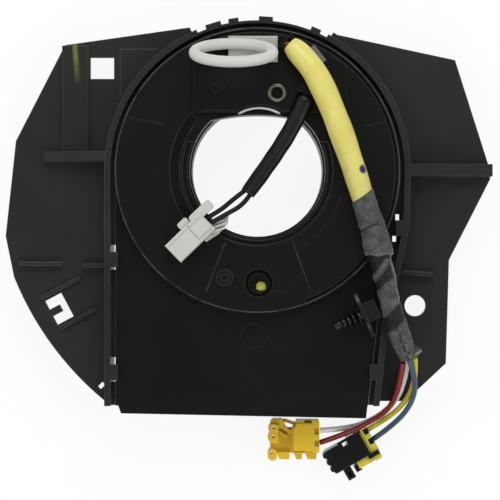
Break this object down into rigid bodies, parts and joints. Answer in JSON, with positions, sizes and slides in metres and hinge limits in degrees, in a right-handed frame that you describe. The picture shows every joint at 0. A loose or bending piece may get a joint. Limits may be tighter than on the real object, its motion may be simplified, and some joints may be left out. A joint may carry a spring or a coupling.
{
  "type": "steering clock spring",
  "caption": "Round rotary electrical coupler for a steering column, in a black shroud frame with two ribbed wings and a square apron, with a taped harness and small plugs.",
  "frame": {"origin": "on the steering axis, at the back end of the rotor's sleeve, which is the part's lowest plane", "axes": "+Z along the steering axis towards the driver, +Y from the axis towards the tower and the transport lock, +X towards the right wing with the screw hole"},
  "size_m": [0.1751, 0.1672, 0.0485],
  "materials": {
    "black_moulding": "fine moulded texture, satin",
    "film": "clear amber film over copper",
    "slip_film": "smooth film",
    "natural_plastic": "smooth, slightly see-through",
    "grey_plastic": "smooth",
    "marker_yellow": "smooth",
    "tin": "tinned",
    "yellow_tube": "soft vinyl",
    "cloth_tape": "woven cloth",
    "red_pvc": "wire insulation",
    "white_pvc": "wire insulation",
    "yellow_pvc": "wire insulation",
    "blue_pvc": "wire insulation",
    "black_pvc": "soft vinyl",
    "squib_yellow": "moulded"
  },
  "bodies": {
    "housing": {"shroud_frame": "black_moulding", "stator_cover": "black_moulding", "stator_housing": "black_moulding", "connector_block": "black_moulding", "connector_pins": "tin", "slip_sheet": "slip_film", "ribbon_cable": "film", "harness_tape": "cloth_tape", "fir_tree_clip": "black_moulding", "red_wire": "red_pvc", "white_wire": "white_pvc", "yellow_wire": "yellow_pvc", "blue_wire": "blue_pvc", "yellow_plug": "squib_yellow", "black_plug": "black_moulding"},
    "rotor": {"rotor": "black_moulding", "sleeve_retainer": "black_moulding", "terminal_block": "black_moulding", "terminal_cover": "black_moulding", "terminal_latch": "grey_plastic", "yellow_sleeve": "yellow_tube", "black_lead_sleeve": "black_pvc", "black_lead_wire_a": "black_pvc", "black_lead_wire_b": "black_pvc", "white_plug": "natural_plastic"},
    "carrier": {"roller_carrier": "natural_plastic"},
    "lock": {"lock_tab": "natural_plastic"},
    "yellow_lock": {"yellow_plug_lock": "squib_yellow"},
    "black_lock": {"black_plug_lock": "squib_yellow"},
    "roller_marked": {"roller_marked": "marker_yellow"},
    "roller_a": {"roller_a": "black_moulding"},
    "roller_b": {"roller_b": "black_moulding"},
    "roller_c": {"roller_c": "black_moulding"}
  },
  "joints": [
    {"name": "rotor_spin", "type": "hinge", "parent": "housing", "child": "rotor", "pos_m": [0, 0, 0], "axis": [0, 0, 1], "range_deg": [-900, 900], "deforming": ["ribbon_cable", "yellow_sleeve", "harness_tape"]},
    {"name": "carrier_spin", "type": "hinge", "parent": "housing", "child": "carrier", "pos_m": [0, 0, 0.005], "axis": [0, 0, 1], "range_deg": [-347, 347]},
    {"name": "lock_pull", "type": "slide", "parent": "rotor", "child": "lock", "axis": [0, 0, 1], "range_m": [0, 0.008]},
    {"name": "roller_marked_spin", "type": "hinge", "parent": "carrier", "child": "roller_marked", "pos_m": [0.00117, -0.03958, 0.0065], "axis": [0, 0, 1], "range_deg": [-4354, 4354]},
    {"name": "roller_a_spin", "type": "hinge", "parent": "carrier", "child": "roller_a", "pos_m": [0.03958, 0.00117, 0.0065], "axis": [0, 0, 1], "range_deg": [-4354, 4354]},
    {"name": "roller_b_spin", "type": "hinge", "parent": "carrier", "child": "roller_b", "pos_m": [-0.00117, 0.03958, 0.0065], "axis": [0, 0, 1], "range_deg": [-4354, 4354]},
    {"name": "roller_c_spin", "type": "hinge", "parent": "carrier", "child": "roller_c", "pos_m": [-0.03958, -0.00117, 0.0065], "axis": [0, 0, 1], "range_deg": [-4354, 4354]},
    {"name": "yellow_lock_push", "type": "slide", "parent": "housing", "child": "yellow_lock", "axis": [-1, 0, 0], "range_m": [0, 0.0022]},
    {"name": "black_lock_push", "type": "slide", "parent": "housing", "child": "black_lock", "axis": [-0.866, -0.5, 0], "range_m": [0, 0.0022]}
  ],
  "couplings": [
    {"joint": "carrier_spin", "follows": "rotor_spin", "ratio": 0.3846},
    {"joint": "roller_marked_spin", "follows": "rotor_spin", "ratio": -4.835},
    {"joint": "roller_a_spin", "follows": "rotor_spin", "ratio": -4.835},
    {"joint": "roller_b_spin", "follows": "rotor_spin", "ratio": -4.835},
    {"joint": "roller_c_spin", "follows": "rotor_spin", "ratio": -4.835}
  ]
}
